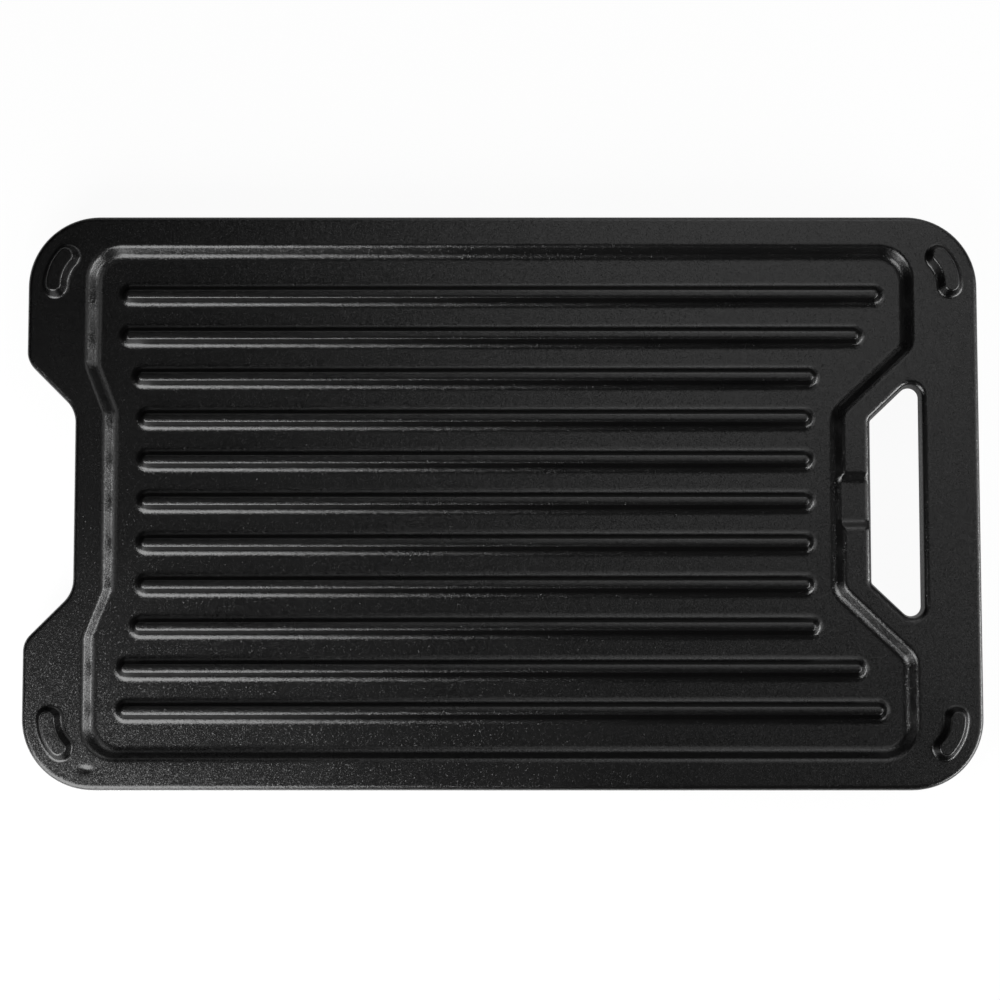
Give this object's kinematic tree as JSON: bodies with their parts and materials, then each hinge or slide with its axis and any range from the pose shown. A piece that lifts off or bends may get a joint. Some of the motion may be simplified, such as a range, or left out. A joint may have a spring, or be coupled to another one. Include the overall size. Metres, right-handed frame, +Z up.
{
  "type": "camp griddle plate",
  "caption": "Reversible cast-iron griddle plate: ribbed recess on one side, flat recess on the other, finger notch, slanted hand slot with a drain notch, curved corner feet.",
  "frame": {"origin": "under the middle of the plate, on the surface that its lower feet stand on", "axes": "+Z up, out of the ribbed side; +X along the plate towards the hand slot; +Y across it"},
  "size_m": [0.4, 0.241, 0.025],
  "materials": {
    "seasoned_iron": "satin black seasoned casting with a fine sand grain"
  },
  "bodies": {
    "root": {"rim": "seasoned_iron", "cooking_floor": "seasoned_iron", "rib_1": "seasoned_iron", "rib_2": "seasoned_iron", "rib_3": "seasoned_iron", "rib_4": "seasoned_iron", "rib_5": "seasoned_iron", "rib_6": "seasoned_iron", "rib_7": "seasoned_iron", "rib_8": "seasoned_iron", "rib_9": "seasoned_iron", "rib_10": "seasoned_iron", "rib_11": "seasoned_iron", "upper_foot_left_front": "seasoned_iron", "upper_foot_right_front": "seasoned_iron", "upper_foot_right_back": "seasoned_iron", "upper_foot_left_back": "seasoned_iron", "lower_foot_left_front": "seasoned_iron", "lower_foot_right_front": "seasoned_iron", "lower_foot_right_back": "seasoned_iron", "lower_foot_left_back": "seasoned_iron"}
  },
  "joints": []
}
